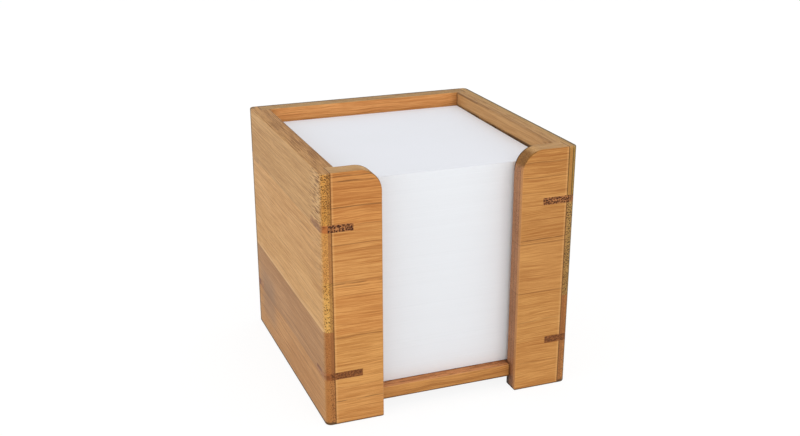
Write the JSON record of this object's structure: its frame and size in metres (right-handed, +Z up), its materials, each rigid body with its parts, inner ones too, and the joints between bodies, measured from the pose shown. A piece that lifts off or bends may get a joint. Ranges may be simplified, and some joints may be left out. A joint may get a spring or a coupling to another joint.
{
  "type": "memo pad holder",
  "caption": "Open-fronted square bamboo box with rounded front strips and dark corner keys, holding a block of loose white memo sheets.",
  "frame": {"origin": "middle of the foot, on the table", "axes": "+X to the right seen from the open front, +Y to the back, +Z up"},
  "size_m": [0.106, 0.109, 0.104],
  "materials": {
    "light_bamboo": "satin oiled bamboo, light tan, grain front to back",
    "brown_bamboo": "satin oiled bamboo, browner staves, grain front to back",
    "front_bamboo": "satin oiled bamboo, orange tan, grain across",
    "back_bamboo": "satin oiled bamboo, orange tan, grain across",
    "base_bamboo": "satin oiled bamboo, grain across",
    "dark_bamboo": "dark brown end grain, speckled",
    "paper": "matte uncoated white"
  },
  "bodies": {
    "holder": {"back_stave_1": "back_bamboo", "back_stave_2": "back_bamboo", "back_stave_3": "back_bamboo", "back_stave_4": "back_bamboo", "back_stave_5": "back_bamboo", "base_board": "base_bamboo", "front_left_stave_1": "front_bamboo", "front_left_stave_2": "front_bamboo", "front_left_stave_3": "front_bamboo", "front_left_stave_4": "front_bamboo", "front_left_stave_5": "front_bamboo", "front_right_stave_1": "front_bamboo", "front_right_stave_2": "front_bamboo", "front_right_stave_3": "front_bamboo", "front_right_stave_4": "front_bamboo", "front_right_stave_5": "front_bamboo", "key_back_left_lower": "dark_bamboo", "key_back_left_upper": "dark_bamboo", "key_back_right_lower": "dark_bamboo", "key_back_right_upper": "dark_bamboo", "key_front_left_lower": "dark_bamboo", "key_front_left_upper": "dark_bamboo", "key_front_right_lower": "dark_bamboo", "key_front_right_upper": "dark_bamboo", "left_side_stave_1": "brown_bamboo", "left_side_stave_2": "brown_bamboo", "left_side_stave_3": "light_bamboo", "left_side_stave_4": "light_bamboo", "left_side_stave_5": "light_bamboo", "right_side_stave_1": "brown_bamboo", "right_side_stave_2": "brown_bamboo", "right_side_stave_3": "light_bamboo", "right_side_stave_4": "light_bamboo", "right_side_stave_5": "light_bamboo"},
    "memo_stack": {"memo_stack": "paper"},
    "top_sheet": {"top_sheet": "paper"}
  },
  "joints": [
    {"name": "memo_stack_lift", "type": "slide", "parent": "holder", "child": "memo_stack", "axis": [0, 0, 1], "range_m": [0, 0.1]},
    {"name": "top_sheet_lift", "type": "slide", "parent": "memo_stack", "child": "top_sheet", "axis": [0, 0, 1], "range_m": [0, 0.04]}
  ]
}
